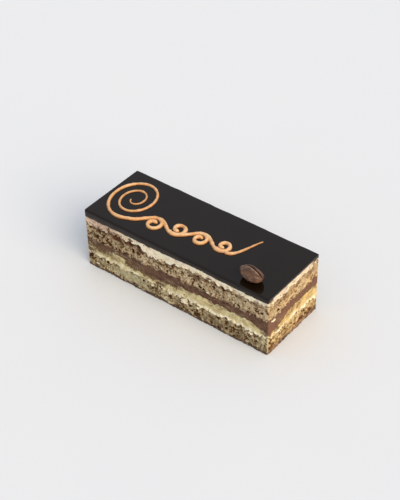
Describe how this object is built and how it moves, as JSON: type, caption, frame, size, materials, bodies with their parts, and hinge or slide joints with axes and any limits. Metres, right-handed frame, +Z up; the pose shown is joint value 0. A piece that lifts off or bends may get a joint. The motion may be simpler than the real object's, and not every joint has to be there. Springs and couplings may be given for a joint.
{
  "type": "opera cake slice",
  "caption": "Rectangular slice of layered coffee and chocolate cake with a dark mirror glaze, a piped scroll and a coffee bean on top.",
  "frame": {"origin": "centre of the flat underside, where the slice rests", "axes": "+Z up, +X along the slice's length to its right-hand end, -Y out of the long cut face at the front"},
  "size_m": [0.1, 0.0366, 0.0367],
  "materials": {
    "chocolate_coat": "matt dark chocolate",
    "almond_sponge": "open, torn crumb",
    "buttercream": "soft satin",
    "ganache": "soft satin",
    "mirror_glaze": "mirror gloss",
    "roasted_bean": "oily satin"
  },
  "bodies": {
    "root": {"chocolate_base": "chocolate_coat", "sponge_lower": "almond_sponge", "buttercream_lower": "buttercream", "ganache": "ganache", "sponge_upper": "almond_sponge", "buttercream_upper": "buttercream", "mirror_glaze": "mirror_glaze", "coffee_bean": "roasted_bean"}
  },
  "joints": []
}
